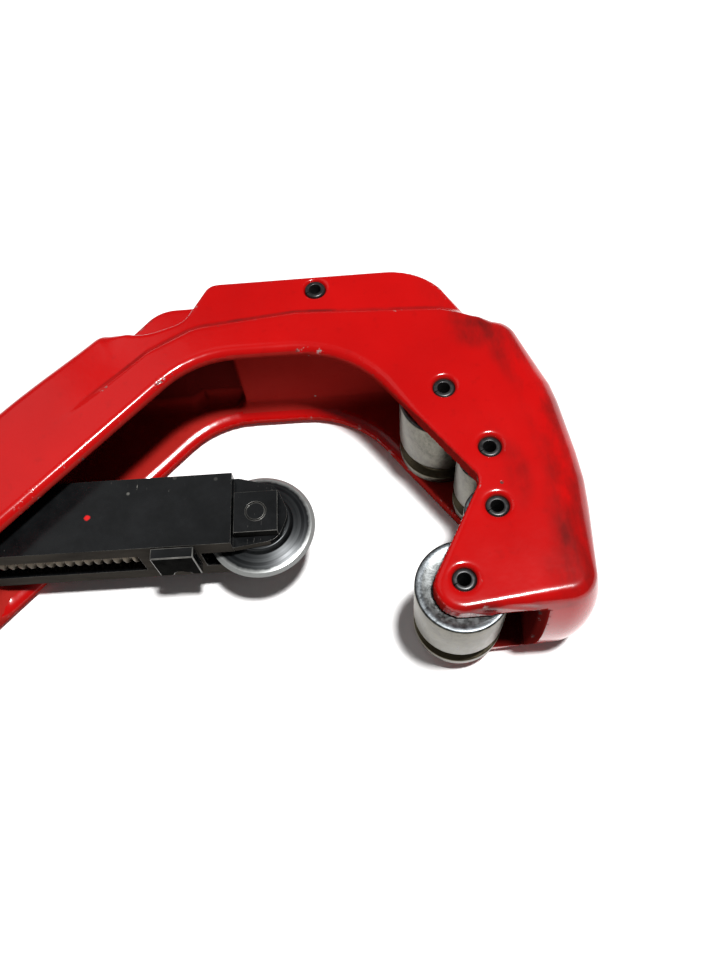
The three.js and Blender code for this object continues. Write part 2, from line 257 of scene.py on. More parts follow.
CHANNEL_FLOOR = (
    (-105, -40, 0), (14, -40, 0), (14, -18, 0), (17, -9, 5), (17, 9, 8), (12, 30, 8),
    (3, 38, 8), (-23, 37.6, 0), (-47.5, 37.6, 0), (-47.5, 41.2, 0), (-58, 41.2, 0),
    (-61, 39.2, 0), (-77.3, 39.2, 6), (-105, 11.5, 0),
)
PANEL = (
    (-87, 15.7, 0), (-65.5, 36.2, 0), (-55, 42, 10), (-32, 44.4, 0), (0.8, 42.8, 0),
    (14, 39, 0), (14, 70, 0), (-60, 70, 0), (-125, 20, 0),
)
REAMER_SLOT = ((-70.3, 70, 0), (-70.3, 47.5, 2), (-62, 45.2, 0), (-13, 45.2, 3), (-13, 70, 0))

# Hollows for the moving parts, each as x0, x1, y0, y1 and half its height.
SLIDE_PASSAGE = ((-169, -104, -20, 20), SLIDE_HALF_Z + CLEARANCE)
LEVER_POCKET = ((-150, -104, -40, -13), 5.3)
NUT_SLOT = ((-149, -128.5, -14, -8), 4)
SPRING_WELL = {"y": -12.3, "half": 1.8, "radius": 3.6}


def box_distance(x, y, x0, x1, y0, y1):
    """Distance from a rectangle's nearest side, negative inside it."""
    return np.maximum(np.abs(x - (x0 + x1) / 2) - (x1 - x0) / 2,
                      np.abs(y - (y0 + y1) / 2) - (y1 - y0) / 2)


def casting_field(step):
    """The casting on a grid of steps, the grid's corner, and two outlines' distances."""
    low, high = (np.array(corner) for corner in CASTING_BOX)
    sizes = np.ceil((high - low) / step).astype(int) + 1
    xs, ys, zs = (low[k] + step * np.arange(sizes[k]) for k in range(3))
    x, y = np.meshgrid(xs, ys, indexing="ij")
    edge, (reach, rise, inner_reach, draft, fall) = outline_distance(
        rounded_outline(SILHOUETTE), x, y)
    floor, _ = outline_distance(rounded_outline(CHANNEL_FLOOR), x, y)
    rib, _ = outline_distance(rounded_outline(RIB), x, y)
    panel, _ = outline_distance(rounded_outline(PANEL), x, y)
    slot, _ = outline_distance(rounded_outline(REAMER_SLOT), x, y)
    # The back panel sinks in gradually along the leg, and falls off steeply beside the arch.
    sunk = smoothstep(-71, -32, x + y) * smoothstep(0.7, -1.6, panel)
    face = HALF_THICK - PANEL_DROP * sunk
    face = face - fall * np.clip(1 + edge / 10, 0, 1) ** 2

    x, y, edge, reach, rise, inner_reach, draft, floor, rib, slot, face = (
        a[:, :, None].astype(np.float32)
        for a in (x, y, edge, reach, rise, inner_reach, draft, floor, rib, slot, face)
    )
    z = zs[None, None, :].astype(np.float32)
    height = np.abs(z)
    side = edge + draft * (height / HALF_THICK) ** 2
    body = both(side * (rise / reach), height - face, rise)
    rim = both(side * (RIM_HALF / inner_reach), CHANNEL - height, np.minimum(RIM_HALF, inner_reach))
    flanges = either(rim, -floor, 0.5 + 2.5 * smoothstep(4, -8, x - y * 0.5))
    body = np.maximum(body, flanges)
    body = either(body, both(rib, height - RIB_HALF, 1.2), 1.0)
    body = both(body, -np.maximum(slot, height - REAMER_SLOT_HALF), 0.5)

    area, half = SLIDE_PASSAGE
    square = np.maximum(np.abs(y) - (SLIDE_HALF_Y + CLEARANCE), height - half)
    body = both(body, -both(square, box_distance(x, y, *area), 0.1), 0.6)
    area, half = LEVER_POCKET
    pocket = np.maximum(box_distance(x, y, *area), height - half)
    area, half = NUT_SLOT
    nut_slot = np.maximum(box_distance(x, y, *area), height - half)
    body = both(body, -np.minimum(pocket, nut_slot), 0.5)
    well = np.maximum(np.hypot(x - SPRING_X, z) - SPRING_WELL["radius"],
                      np.abs(y - SPRING_WELL["y"]) - SPRING_WELL["half"])
    body = np.maximum(body, -well)

    for place in ROLLER_PINS + (REAMER_PIN, LEVER_PIN):
        radius = LEVER_PIN_HOLE if place == LEVER_PIN else PIN_R
        top = HALF_THICK - PANEL_DROP if place == REAMER_PIN else HALF_THICK
        around = np.hypot(x - place[0], y - place[1])
        body = np.maximum(body, radius + 0.06 - around)
        chamfer = (radius + 0.65 - around) + np.minimum(height - top, 0)
        body = np.maximum(body, chamfer * 0.7)
    return body, low, edge[:, :, 0], floor[:, :, 0]


def sample_flat(grid, points):
    """Value of a two-dimensional grid at the X and Y of points given in grid steps."""
    return sample(grid[:, :, None].repeat(2, axis=2), points * (1, 1, 0))


def casting():
    """The frame's mesh, drawn onto the field's zero surface, with shading numbers per vertex."""
    step = CASTING_STEP
    field, low, edge, floor = casting_field(step)
    cells, quads = field_mesh(field)
    # Two small steps down the field's slope put the vertices on its zero surface.
    gradient = np.gradient(field, step)
    for _ in range(2):
        value = sample(field, cells)
        slope = np.stack([sample(g, cells) for g in gradient], axis=1)
        size = np.maximum(np.sum(slope ** 2, axis=1), 0.2)
        move = np.clip(value / size, -0.3 * step, 0.3 * step)[:, None] * slope / step
        cells = cells - move
    # The field's curvature is high on outside edges and negative in inside corners.
    bend = -6 * field
    for axis in range(3):
        bend += np.roll(field, 1, axis) + np.roll(field, -1, axis)
    bend = sample(bend / step ** 2, cells)
    points = cells * step + low
    piece = new_mesh("frame_casting", points, quads)
    shade(piece, "edge", np.clip(bend / 1.1, 0, 1))
    shade(piece, "crease", np.clip(-bend / 0.9, 0, 1))
    x, y, z = points.T
    inset = sample_flat(edge, cells)
    wall = sample_flat(floor, cells)
    # The paint darkens in a band along the jaw's outer side, and painted shade lies on the lip over
    # its end's opening.
    band = smoothstep(-12.5, -8, inset) * smoothstep(0.5, -4.5, inset)
    outer_darkening = 0.9 * band * smoothstep(8, 16, x + 0.25 * y)
    # Painted shade on the lip.
    lip = 0.9 * smoothstep(-26, -28.3, y) * smoothstep(-6, 4, x) * smoothstep(11, 13, z)
    shade(piece, "jaw_band_and_lip_shade", np.maximum(outer_darkening, lip))
    # The channel is dull and darker, as painted shade, and painted shade is heaviest low down in the
    # leg and inside the jaw.
    inside = smoothstep(3.2, 1.4, wall) * smoothstep(CHANNEL + 0.9, CHANNEL - 0.3, np.abs(z))
    shade(piece, "inside", inside)
    deep = smoothstep(-47, -49, x) * smoothstep(-11, -7, z) + 0.95 * smoothstep(4, 10, x)
    shade(piece, "hollow_painted_shade", inside * deep)
    return piece


# ------------------------------------------------------------------ mesh helpers
def new_mesh(name, points, faces, smooth=True):
    """An object from points in the cutter's own coordinates, in millimetres."""
    mesh = bpy.data.meshes.new(name)
    mesh.from_pydata((np.asarray(points, float) + ORIGIN_SHIFT) * MM, [], [list(f) for f in faces])
    mesh.validate()
    if smooth:
        mesh.polygons.foreach_set("use_smooth", [True] * len(mesh.polygons))
    piece = bpy.data.objects.new(name, mesh)
    bpy.context.scene.collection.objects.link(piece)
    return piece


def shade(piece, name, values):
    """A number per vertex that the piece's material reads."""
    layer = piece.data.attributes.new(name, "FLOAT", "POINT")
    layer.data.foreach_set("value", np.asarray(values, np.float32))


def dress(piece, material, body, node):
    """Gives a piece its finish, and says which body it rides on and which node it replaces."""
    if not piece.data.materials:
        piece.data.materials.append(material)
    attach(piece, body)
    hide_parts(node)
    return piece


# ------------------------------------------------------------------ materials
GRAIN_RED = (0.20, 0.001, 0.001)
# Colour of smudges, of the jaw's darker band and of painted shade.
SOIL_AND_SHADE_COLOR = (0.055, 0.004, 0.0035)
CHIP_COLORS = (0.035, 0.030, 0.028), (0.26, 0.22, 0.21)
FLECK_RED = (0.50, 0.01, 0.01)
ROLLER_SIDE = (0.045, 0.042, 0.031), (0.165, 0.157, 0.127)
ROLLER_FACE = (0.060, 0.065, 0.068), (0.120, 0.130, 0.137)
# Painted shade in the rollers' groove.
GROOVE_SHADE_COLOR = (0.09, 0.072, 0.042)
ROLLER_SPOT = (0.035, 0.032, 0.024)


class Material:
    """A node material under construction. Object coordinates are metres in the row frame."""

    def __init__(self, name, metallic):
        self.material = bpy.data.materials.new(name)
        self.material.use_nodes = True
        self.tree = self.material.node_tree
        self.shader = self.tree.nodes["Principled BSDF"]
        self.shader.inputs["Metallic"].default_value = metallic
        self.shader.inputs["IOR"].default_value = 1.5
        self.place = self.add("ShaderNodeTexCoord").outputs["Object"]

    def add(self, kind, settings=None, **inputs):
        """A new node; inputs are sockets or plain values, by name or as _ and their number."""
        node = self.tree.nodes.new(kind)
        for key, value in (settings or {}).items():
            setattr(node, key, value)
        for key, value in inputs.items():
            key = int(key[1:]) if key[0] == "_" else key
            if isinstance(value, bpy.types.NodeSocket):
                self.tree.links.new(value, node.inputs[key])
            else:
                node.inputs[key].default_value = value
        return node

    def stretched(self, scale):
        return self.add("ShaderNodeMapping", Vector=self.place, Scale=scale).outputs[0]

    def noise(self, scale, detail=3.0, vector=None, roughness=0.55):
        node = self.add("ShaderNodeTexNoise", Vector=vector or self.place, Scale=scale,
                        Detail=detail, Roughness=roughness)
        return node.outputs["Fac"]

    def specks(self, scale, size):
        """1 inside sparse small dots, 0 elsewhere."""
        cells = self.add("ShaderNodeTexVoronoi", Vector=self.place, Scale=scale)
        return self.ramp(cells.outputs["Distance"], size, size * 0.7)

    def attribute(self, name):
        return self.add("ShaderNodeAttribute", {"attribute_name": name}).outputs["Fac"]

    def ramp(self, value, low, high, to_low=0.0, to_high=1.0):
        """A clamped straight line: low gives to_low and high gives to_high."""
        return self.add("ShaderNodeMapRange", _0=value, _1=low, _2=high, _3=to_low,
                        _4=to_high).outputs[0]

    def math(self, operation, a, b=0.0):
        return self.add("ShaderNodeMath", {"operation": operation}, _0=a, _1=b).outputs[0]

    def mix(self, factor, a, b):
        node = self.tree.nodes.new("ShaderNodeMix")
        node.data_type = "RGBA"
        for socket, value in ((node.inputs[0], factor), (node.inputs[6], a), (node.inputs[7], b)):
            if isinstance(value, bpy.types.NodeSocket):
                self.tree.links.new(value, socket)
            else:
                socket.default_value = value if isinstance(value, float) else (*value, 1)
        return node.outputs[2]

    def bump(self, height, strength, distance, below=None):
        node = self.add("ShaderNodeBump", Height=height, Strength=strength, Distance=distance)
        if below is not None:
            self.tree.links.new(below, node.inputs["Normal"])
        return node.outputs[0]

    def finish(self, color, roughness, normal=None, metallic=None):
        pairs = (("Base Color", color), ("Roughness", roughness), ("Normal", normal),
                 ("Metallic", metallic))
        for key, socket in pairs:
            if socket is not None:
                self.tree.links.new(socket, self.shader.inputs[key])
        return self.material


def paint_material(name, coat, shine, extra_rough, deep, bright):
    """Thick red paint: cloudy and grainy, smudged darker, darker in creases and along the jaw's band,
    with painted shade in hollows and on the jaw's lip, chipped to bare metal on edges.
    """
    m = Material(name, 0.0)
    m.shader.inputs["Coat Weight"].default_value = coat
    m.shader.inputs["Coat Roughness"].default_value = 0.10
    m.shader.inputs["Specular IOR Level"].default_value = shine
    edge = m.attribute("edge")
    crease = m.attribute("crease")
    cloud = m.noise(28, 4)
    grain = m.noise(420, 3)
    smudge = m.noise(55, 5, m.stretched((1.0, 0.45, 1.0)), 0.65)
    red = m.mix(m.ramp(cloud, 0.3, 0.7), deep, bright)
    red = m.mix(m.ramp(grain, 0.60, 0.8, 0.0, 0.3), red, GRAIN_RED)
    # Smudges darken the paint, more along the jaw's band and on the lip's painted shade; inside
    # corners darken too; painted shade fills the hollows.
    soil_and_shade = m.math("MULTIPLY", m.ramp(smudge, 0.40, 0.62), m.math("ADD", m.attribute("jaw_band_and_lip_shade"), 0.05))
    lines = m.math("MULTIPLY", m.ramp(crease, 0.25, 0.9, 0, 0.75), m.ramp(smudge, 0.36, 0.6))
    soil_and_shade = m.math("MAXIMUM", soil_and_shade, lines)
    # Painted shade in the casting's hollows.
    soil_and_shade = m.math("MAXIMUM", soil_and_shade, m.attribute("hollow_painted_shade"))
    color = m.mix(m.math("MINIMUM", soil_and_shade, 0.92), red, SOIL_AND_SHADE_COLOR)
    patchy = m.ramp(m.noise(330, 4, None, 0.7), 0.60, 0.66)
    worn = m.math("MULTIPLY", m.ramp(edge, 0.30, 0.62), patchy)
    worn = m.math("MULTIPLY", worn, m.ramp(m.noise(70, 2), 0.44, 0.56))
    nick = m.math("MULTIPLY", m.specks(150, 0.07), m.ramp(m.noise(95, 1), 0.58, 0.62))
    bare = m.math("MAXIMUM", worn, nick)
    metal = m.mix(m.ramp(m.noise(210, 2), 0.45, 0.55), *CHIP_COLORS)
    color = m.mix(bare, color, metal)
    rough = m.ramp(m.noise(130, 4), 0.25, 0.75, 0.15 + extra_rough, 0.20 + extra_rough)
    normal = m.bump(m.noise(300, 2), 0.14, 0.0002)
    normal = m.bump(m.noise(1500, 2), 0.06, 0.0001, normal)
    normal = m.bump(m.math("SUBTRACT", 1.0, bare), 0.5, 0.00012, normal)
    return m.finish(color, rough, normal)


def metal_material(name, dark, light, rough, scale, stretch=(1, 1, 1), spots=0.0,
                   spot_color=None, bump=0.15, metallic=1.0, wear=None, shine=0.5,
                   fleck_at=None):
    """Worked metal: two tones mixed by grain along stretch, with darker spots, flecks of wear
    in a lighter colour, and one fleck of red paint."""
    m = Material(name, metallic)
    m.shader.inputs["Specular IOR Level"].default_value = shine
    vector = m.stretched(stretch)
    grain = m.noise(scale, 5, vector, 0.7)
    cloud = m.noise(scale * 0.18, 3)
    tone = m.math("ADD", m.math("MULTIPLY", grain, 0.65), m.math("MULTIPLY", cloud, 0.35))
    color = m.mix(m.ramp(tone, 0.35, 0.65), dark, light)
    if spots:
        patch = m.math("MULTIPLY", m.ramp(m.noise(scale * 0.6, 5, None, 0.75), 0.50, 0.68),
                       m.ramp(m.noise(scale * 0.12, 2), 0.38, 0.62))
        color = m.mix(m.math("MULTIPLY", patch, spots), color, spot_color)
    if wear:
        scratch = m.ramp(m.noise(scale * 1.6, 3, m.stretched((6, 1, 1)), 0.8), 0.665, 0.70)
        fleck = m.math("MAXIMUM", m.specks(scale * 1.1, 0.09), scratch)
        fleck = m.math("MULTIPLY", fleck, m.ramp(m.noise(scale * 0.3, 2), 0.52, 0.66))
        color = m.mix(m.math("MULTIPLY", fleck, 0.8), color, wear)
    if fleck_at:
        away = m.add("ShaderNodeVectorMath", {"operation": "DISTANCE"}, _0=m.place, _1=fleck_at)
        blot = m.math("ADD", away.outputs["Value"], m.math("MULTIPLY", m.noise(900, 2), 0.0007))
        color = m.mix(m.ramp(blot, 0.0011, 0.0008), color, FLECK_RED)
    roughness = m.ramp(grain, 0.3, 0.7, *rough)
    return m.finish(color, roughness, m.bump(grain, bump, 0.0001))


def zinc_material():
    """Dull plated steel: olive grey and grainy on the sides, bluer on the ground top faces, with
    painted shade in the groove.
    """
    m = Material("zinc_plate", 1.0)
    parts = m.add("ShaderNodeSeparateXYZ", Vector=m.place)
    height = parts.outputs[2]
    grain = m.noise(900, 4, m.stretched((1, 1, 0.5)), 0.75)
    cloud = m.noise(120, 4, None, 0.7)
    tone = m.math("ADD", m.math("MULTIPLY", grain, 0.6), m.math("MULTIPLY", cloud, 0.4))
    side = m.mix(m.ramp(tone, 0.38, 0.62), *ROLLER_SIDE)
    face = m.mix(m.ramp(grain, 0.35, 0.65), *ROLLER_FACE)
    top, low, high = ((HALF_THICK + h) * MM for h in (ROLLER_HALF, GROOVE_LOW, GROOVE_HIGH))
    ground = m.ramp(height, top - 0.0002, top - 0.0001)
    color = m.mix(ground, side, face)
    # Painted shade: the groove is darkened towards brown.
    groove = m.math("MULTIPLY", m.ramp(height, low - 0.0006, low),
                    m.ramp(height, high + 0.0002, high - 0.0002))
    groove_shade = m.math("MULTIPLY", groove, m.ramp(cloud, 0.3, 0.6, 0.5, 0.9))
    color = m.mix(groove_shade, color, GROOVE_SHADE_COLOR)
    pits = m.ramp(m.noise(520, 5, None, 0.8), 0.56, 0.66)
    spot = m.math("MULTIPLY", pits, m.ramp(cloud, 0.42, 0.6))
    spot = m.math("MULTIPLY", spot, m.ramp(ground, 0.0, 1.0, 0.5, 0.08))
    color = m.mix(spot, color, ROLLER_SPOT)
    return m.finish(color, m.ramp(grain, 0.3, 0.7, 0.26, 0.44), m.bump(grain, 0.35, 0.0001))


def turned_material(name, centre, dark, light, rings, rough, rim):
    """Turned metal: fine rings about a Z axis at centre (row frame, metres). The rim is where
    a brighter worn edge starts, where it is full, and its colour."""
    m = Material(name, 0.6)
    offset = m.add("ShaderNodeVectorMath", {"operation": "SUBTRACT"}, _0=m.place, _1=centre)
    parts = m.add("ShaderNodeSeparateXYZ", Vector=offset.outputs[0])
    radius = m.math("SQRT", m.math("ADD", m.math("POWER", parts.outputs[0], 2.0),
                                   m.math("POWER", parts.outputs[1], 2.0)))
    along = m.add("ShaderNodeCombineXYZ", X=radius, Z=m.math("MULTIPLY", parts.outputs[2], 0.3))
    ring = m.noise(rings, 2, along.outputs[0], 0.6)
    cloud = m.noise(160, 4)
    tone = m.math("ADD", m.math("MULTIPLY", ring, 0.6), m.math("MULTIPLY", cloud, 0.4))
    color = m.mix(m.ramp(tone, 0.38, 0.62), dark, light)
    roughness = m.ramp(ring, 0.3, 0.7, *rough)
    start, end, bright = rim
    reach = m.math("ADD", radius, m.math("MULTIPLY", m.noise(900, 3), 0.0006))
    color = m.mix(m.ramp(reach, start, end), color, bright)
    return m.finish(color, roughness, m.bump(ring, 0.25, 0.0001))


# ------------------------------------------------------------------ solid pieces
def box_centre(node):
    """Middle and half size of a CAD node in the cutter's own coordinates, in millimetres."""
    low, high = (np.array(c) / MM - ORIGIN_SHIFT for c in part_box(node))
    return (low + high) / 2, (high - low) / 2


def along(axis, x, y, z):
    """A point made about the Z axis, turned so that its Z runs along the axis named."""
    return {"x": (z, x, y), "y": (y, z, x), "z": (x, y, z)}[axis]


def lathe(name, profile, centre, axis="z", sides=96, sharp=28):
    """A closed ring turned from (radius, height) points about an axis through centre."""
    count = len(profile)
    angles = np.linspace(0, 2 * np.pi, sides, endpoint=False)
    points = []
    for angle in angles:
        c, s = math.cos(angle), math.sin(angle)
        points += [along(axis, r * c, r * s, h) for r, h in profile]
    faces = []
    for i in range(sides):
        for k in range(count):
            a, b = i * count, ((i + 1) % sides) * count
            n = (k + 1) % count
            faces.append((a + k, b + k, b + n, a + n))
    piece = new_mesh(name, np.array(points) + centre, faces)
    return tidy_mesh(piece, sharp)


def tidy_mesh(piece, sharp=30):
    """Merges doubled points, points the faces outwards, and keeps creases over sharp degrees."""
    edit = bmesh.new()
    edit.from_mesh(piece.data)
    bmesh.ops.remove_doubles(edit, verts=edit.verts, dist=1e-7)
    bmesh.ops.dissolve_degenerate(edit, edges=edit.edges, dist=1e-8)
    bmesh.ops.recalc_face_normals(edit, faces=edit.faces)
    for edge in edit.edges:
        if len(edge.link_faces) == 2 and edge.calc_face_angle() > math.radians(sharp):
            edge.smooth = False
    edit.to_mesh(piece.data)
    edit.free()
    return piece


def rounded_profile(corners, step_degrees=22):
    """(radius, height) points of a lathe profile with rounded corners (r, h, radius)."""
    return [tuple(row[:2]) for row in rounded_outline(corners, step_degrees)]


def prism(name, corners, z0, z1):
    """A straight-sided piece over an outline of corners (x, y, radius)."""
    ring = rounded_outline(corners, 10)
    count = len(ring)
    points = [(*row[:2], z) for z in (z0, z1) for row in ring]
    faces = [tuple(range(count)), tuple(range(2 * count - 1, count - 1, -1))]
    faces += [(i, i + count, (i + 1) % count + count, (i + 1) % count) for i in range(count)]
    return tidy_mesh(new_mesh(name, points, faces, smooth=False))


def bar(name, x0, x1, y0, y1, z0, z1):
    return prism(name, ((x0, y0, 0), (x1, y0, 0), (x1, y1, 0), (x0, y1, 0)), z0, z1)


def rod(name, centre, radius, half, axis="z", sides=64):
    return lathe(name, [(0, -half), (radius, -half), (radius, half), (0, half)], centre, axis, sides)


def combine(piece, others, operation):
    """Cuts or joins other pieces with a piece, and removes them."""
    for other in others:
        modifier = piece.modifiers.new("combine", "BOOLEAN")
        modifier.operation = operation
        modifier.solver = "EXACT"
        modifier.object = other
    bake_modifiers(piece)
    for other in others:
        bpy.data.objects.remove(other)
    return piece


def bake_modifiers(piece):
    bpy.context.view_layer.update()
    mesh = bpy.data.meshes.new_from_object(piece.evaluated_get(bpy.context.evaluated_depsgraph_get()))
    piece.modifiers.clear()
    piece.data = mesh


def cut(piece, *others):
    return combine(piece, others, "DIFFERENCE")


def join(piece, *others):
    return combine(piece, others, "UNION")


def soften(piece, width, segments=2, limit=35, finish=None, worn=None):
    """Small rounded edges all over, so that they catch the light, worn bright if asked."""
    modifier = piece.modifiers.new("soften", "BEVEL")
    if worn:
        piece.data.materials.append(finish)
        piece.data.materials.append(worn)
        modifier.material = 1
    modifier.width = width * MM
    modifier.segments = segments
    modifier.limit_method = "ANGLE"
    modifier.angle_limit = math.radians(limit)
    modifier.use_clamp_overlap = True
    bake_modifiers(piece)
    piece.data.polygons.foreach_set("use_smooth", [True] * len(piece.data.polygons))
    weighted = piece.modifiers.new("weighted", "WEIGHTED_NORMAL")
    weighted.weight = 90
    bake_modifiers(piece)
    return piece


def paint_light_on_underside(piece, material):
    """The faces turned towards -Y, away from the light, wear a copy of the finish with the light and
    shade they show painted into its colour and no sheen.
    """
    piece.data.materials.append(material)
    last = len(piece.data.materials) - 1
    for polygon in piece.data.polygons:
        if polygon.normal.y < -0.95:
            polygon.material_index = last


def tube_faces(rings, sides):
    """Faces of a closed tube: one side after another along its rings, and its two ends."""
    faces = []
    for i in range(rings - 1):
        for k in range(sides):
            a, b, n = i * sides, (i + 1) * sides, (k + 1) % sides
            faces.append((a + k, a + n, b + n, b + k))
    faces.append(tuple(range(sides)))
    faces.append(tuple(range(rings * sides - 1, (rings - 1) * sides - 1, -1)))
    return faces


def coil(name, centre, radius, wire, pitch, start, end, axis, sides=10, per_turn=28):
    """A round wire wound about an axis from start to end along it."""
    turns = (end - start) / pitch
    steps = max(8, round(turns * per_turn))
    points = []
    for i in range(steps + 1):
        t = i / steps
        angle = 2 * np.pi * turns * t
        outward = np.array((math.cos(angle), math.sin(angle), 0.0))
        middle = radius * outward + (0, 0, start + (end - start) * t)
        for k in range(sides):
            around = 2 * np.pi * k / sides
            point = middle + wire * (math.cos(around) * outward + (0, 0, math.sin(around)))
            points.append(along(axis, *point))
    faces = tube_faces(steps + 1, sides)
    return tidy_mesh(new_mesh(name, np.array(points) + centre, faces), 50)


def threaded_rod(name, y, radius, depth, pitch, x0, x1, per_turn=36):
    """A screw along X: the radius rises and falls once in each pitch, on a helix."""
    rows = int((x1 - x0) / pitch * 10)
    xs = np.linspace(x0, x1, rows + 1)
    angles = np.linspace(0, 2 * np.pi, per_turn, endpoint=False)
    points = []
    for x in xs:
        phase = (x / pitch - angles / (2 * np.pi)) % 1
        wave = np.clip((np.abs(phase - 0.5) * 2 - 0.18) / 0.6, 0, 1)
        fade = min(1.0, (x - x0) / pitch, (x1 - x) / pitch)
        r = radius - depth * (1 - (1 - wave) * fade)
        points += [(x, y + rr * math.cos(a), rr * math.sin(a)) for rr, a in zip(r, angles)]
    return tidy_mesh(new_mesh(name, points, tube_faces(rows + 1, per_turn)), 60)


# ------------------------------------------------------------------ materials in use
PAINT = paint_material("red_paint", 0.12, 0.3, 0.0, (0.33, 0.001, 0.001), (0.40, 0.002, 0.0018))
# A darker copy of the paint with no sheen: painted shade for the channel and the throat's walls.
SHADE_PAINTED_RED = paint_material("red_paint_painted_shade", 0.0, 0.0, 0.45, (0.25, 0.009, 0.007),
                            (0.32, 0.018, 0.014))
ZINC = zinc_material()
BLACK = metal_material("black_oxide", (0.0015, 0.0018, 0.002), (0.0065, 0.007, 0.0075),
                       (0.12, 0.24), 150, wear=(0.16, 0.155, 0.14), metallic=0.0, bump=0.06,
                       shine=0.2, fleck_at=(-0.0942, -0.0004, 0.02475))
# A lighter copy of the black finish with no sheen: painted light on the slide's -Y faces.
BLACK_PAINTED_LIGHT = metal_material("black_oxide_painted_light", (0.030, 0.027, 0.024), (0.060, 0.054, 0.046),
                            (0.4, 0.6), 260, (0.3, 1, 1), metallic=0.0, shine=0.0)
# A darker copy of the black finish with no sheen: painted shade on -Y faces.
BLACK_PAINTED_SHADE = metal_material("black_oxide_painted_shade", (0.004, 0.004, 0.004), (0.014, 0.014, 0.013),
                            (0.3, 0.5), 260, metallic=0.0, shine=0.0)
WORN_EDGE = metal_material("worn_edge", (0.006, 0.006, 0.006), (0.20, 0.195, 0.18),
                           (0.25, 0.4), 190, metallic=0.6)
PIN_BLACK = metal_material("pin_black", (0.010, 0.010, 0.011), (0.035, 0.036, 0.038),
                           (0.25, 0.42), 600, metallic=0.6, bump=0.1, wear=(0.3, 0.3, 0.29))
STEEL = metal_material("ground_steel", (0.30, 0.30, 0.30), (0.52, 0.52, 0.51), (0.22, 0.4), 500,
                       (0.25, 1, 1), 0.5, (0.05, 0.045, 0.035), 0.2)
BRONZE = metal_material("sintered_bronze", (0.30, 0.19, 0.08), (0.50, 0.34, 0.16),
                        (0.35, 0.55), 500)
THREAD = metal_material("oiled_thread", (0.030, 0.025, 0.018), (0.13, 0.11, 0.085), (0.3, 0.5),
                        400, (0.3, 1, 1), 0.8, (0.02, 0.014, 0.008), 0.2)
PLASTIC = metal_material("knob_plastic", (0.012, 0.012, 0.013), (0.022, 0.022, 0.023),
                         (0.42, 0.6), 900, metallic=0.0, bump=0.35)
TUBE_BLACK = metal_material("rolled_black_tube", (0.010, 0.010, 0.010), (0.03, 0.03, 0.03),
                            (0.22, 0.4), 700, metallic=0.5)
WHEEL_STEEL = turned_material("wheel_steel", tuple((WHEEL + ORIGIN_SHIFT) * MM),
                              (0.005, 0.006, 0.007), (0.019, 0.021, 0.022), 1500, (0.28, 0.40),
                              (0.0107, 0.0117, (0.36, 0.37, 0.36)))


# ------------------------------------------------------------------ frame, pins and rollers
def make_frame():
    """The casting, with a darker copy of the paint, as painted shade, in its channel and on the sides
    that face the throat.
    """
    body = casting()
    dress(body, PAINT, "frame", "frame")
    inside = np.empty(len(body.data.vertices), np.float32)
    body.data.attributes["inside"].data.foreach_get("value", inside)
    body.data.materials.append(SHADE_PAINTED_RED)
    jaw_x, jaw_y = 0, -0.027  # in metres: the throat lies left of and above these
    for polygon in body.data.polygons:
        normal, centre = polygon.normal, polygon.center
        upright = abs(normal.z) < 0.5
        facing = normal.y < -0.25 or normal.x < -0.4
        throat = upright and facing and centre.x < jaw_x and centre.y > jaw_y
        # Painted shade: the channel and the walls facing the throat take the darker copy.
        polygon.material_index = int(throat or inside[polygon.vertices[0]] > 0.5)


def spring_pin(name, centre, half, node):
    """A tube rolled from strip, with a slit along it."""
    gap = math.radians(3)
    slit_at = 3.6  # radians about Z
    ring = rounded_profile(((PIN_BORE, -half, 0.15), (PIN_R, -half, 0.45), (PIN_R, half, 0.45),
                            (PIN_BORE, half, 0.15)), 30)
    sides, count = 60, len(ring)
    points = []
    for i in range(sides + 1):
        angle = slit_at + gap + (2 * np.pi - 2 * gap) * i / sides
        points += [(r * math.cos(angle), r * math.sin(angle), h) for r, h in ring]
    faces = []
    for i in range(sides):
        for k in range(count):
            a, b, n = i * count, (i + 1) * count, (k + 1) % count
            faces.append((a + k, b + k, b + n, a + n))
    faces += [tuple(range(count)), tuple(range((sides + 1) * count - 1, sides * count - 1, -1))]
    piece = tidy_mesh(new_mesh(name, np.array(points) + centre, faces), 45)
    dress(piece, TUBE_BLACK, "frame", node)


def make_roller(place):
    """A roller and its spring pin."""
    node = f"{place}_roller"
    centre, half = box_centre(node)
    r, h = half[0], half[2]
    low, high, deep = GROOVE_LOW, GROOVE_HIGH, r - GROOVE_DEPTH
    profile = rounded_profile((
        (PIN_R + 0.1, -h, 0.2), (r - 0.1, -h, 0.5), (r, low, 0.35), (deep, low + 0.5, 0.5),
        (deep, high - 0.9, 0.7), (r - 0.25, high, 0.3), (r, high + 0.9, 0.3), (r, h, 0.45),
        (r - 1.2, h, 0), (r - 1.5, h - 0.12, 0), (PIN_R + 1.2, h - 0.12, 0),
        (PIN_R + 0.9, h, 0), (PIN_R + 0.1, h, 0.15)))
    roller = lathe(f"{place}_tube_roller", profile, centre, "z", 112)
    dress(roller, ZINC, node, node)
    centre, half = box_centre(f"{node}_pin")
    spring_pin(f"{place}_spring_pin", centre, half[2] - 0.25, f"{node}_pin")


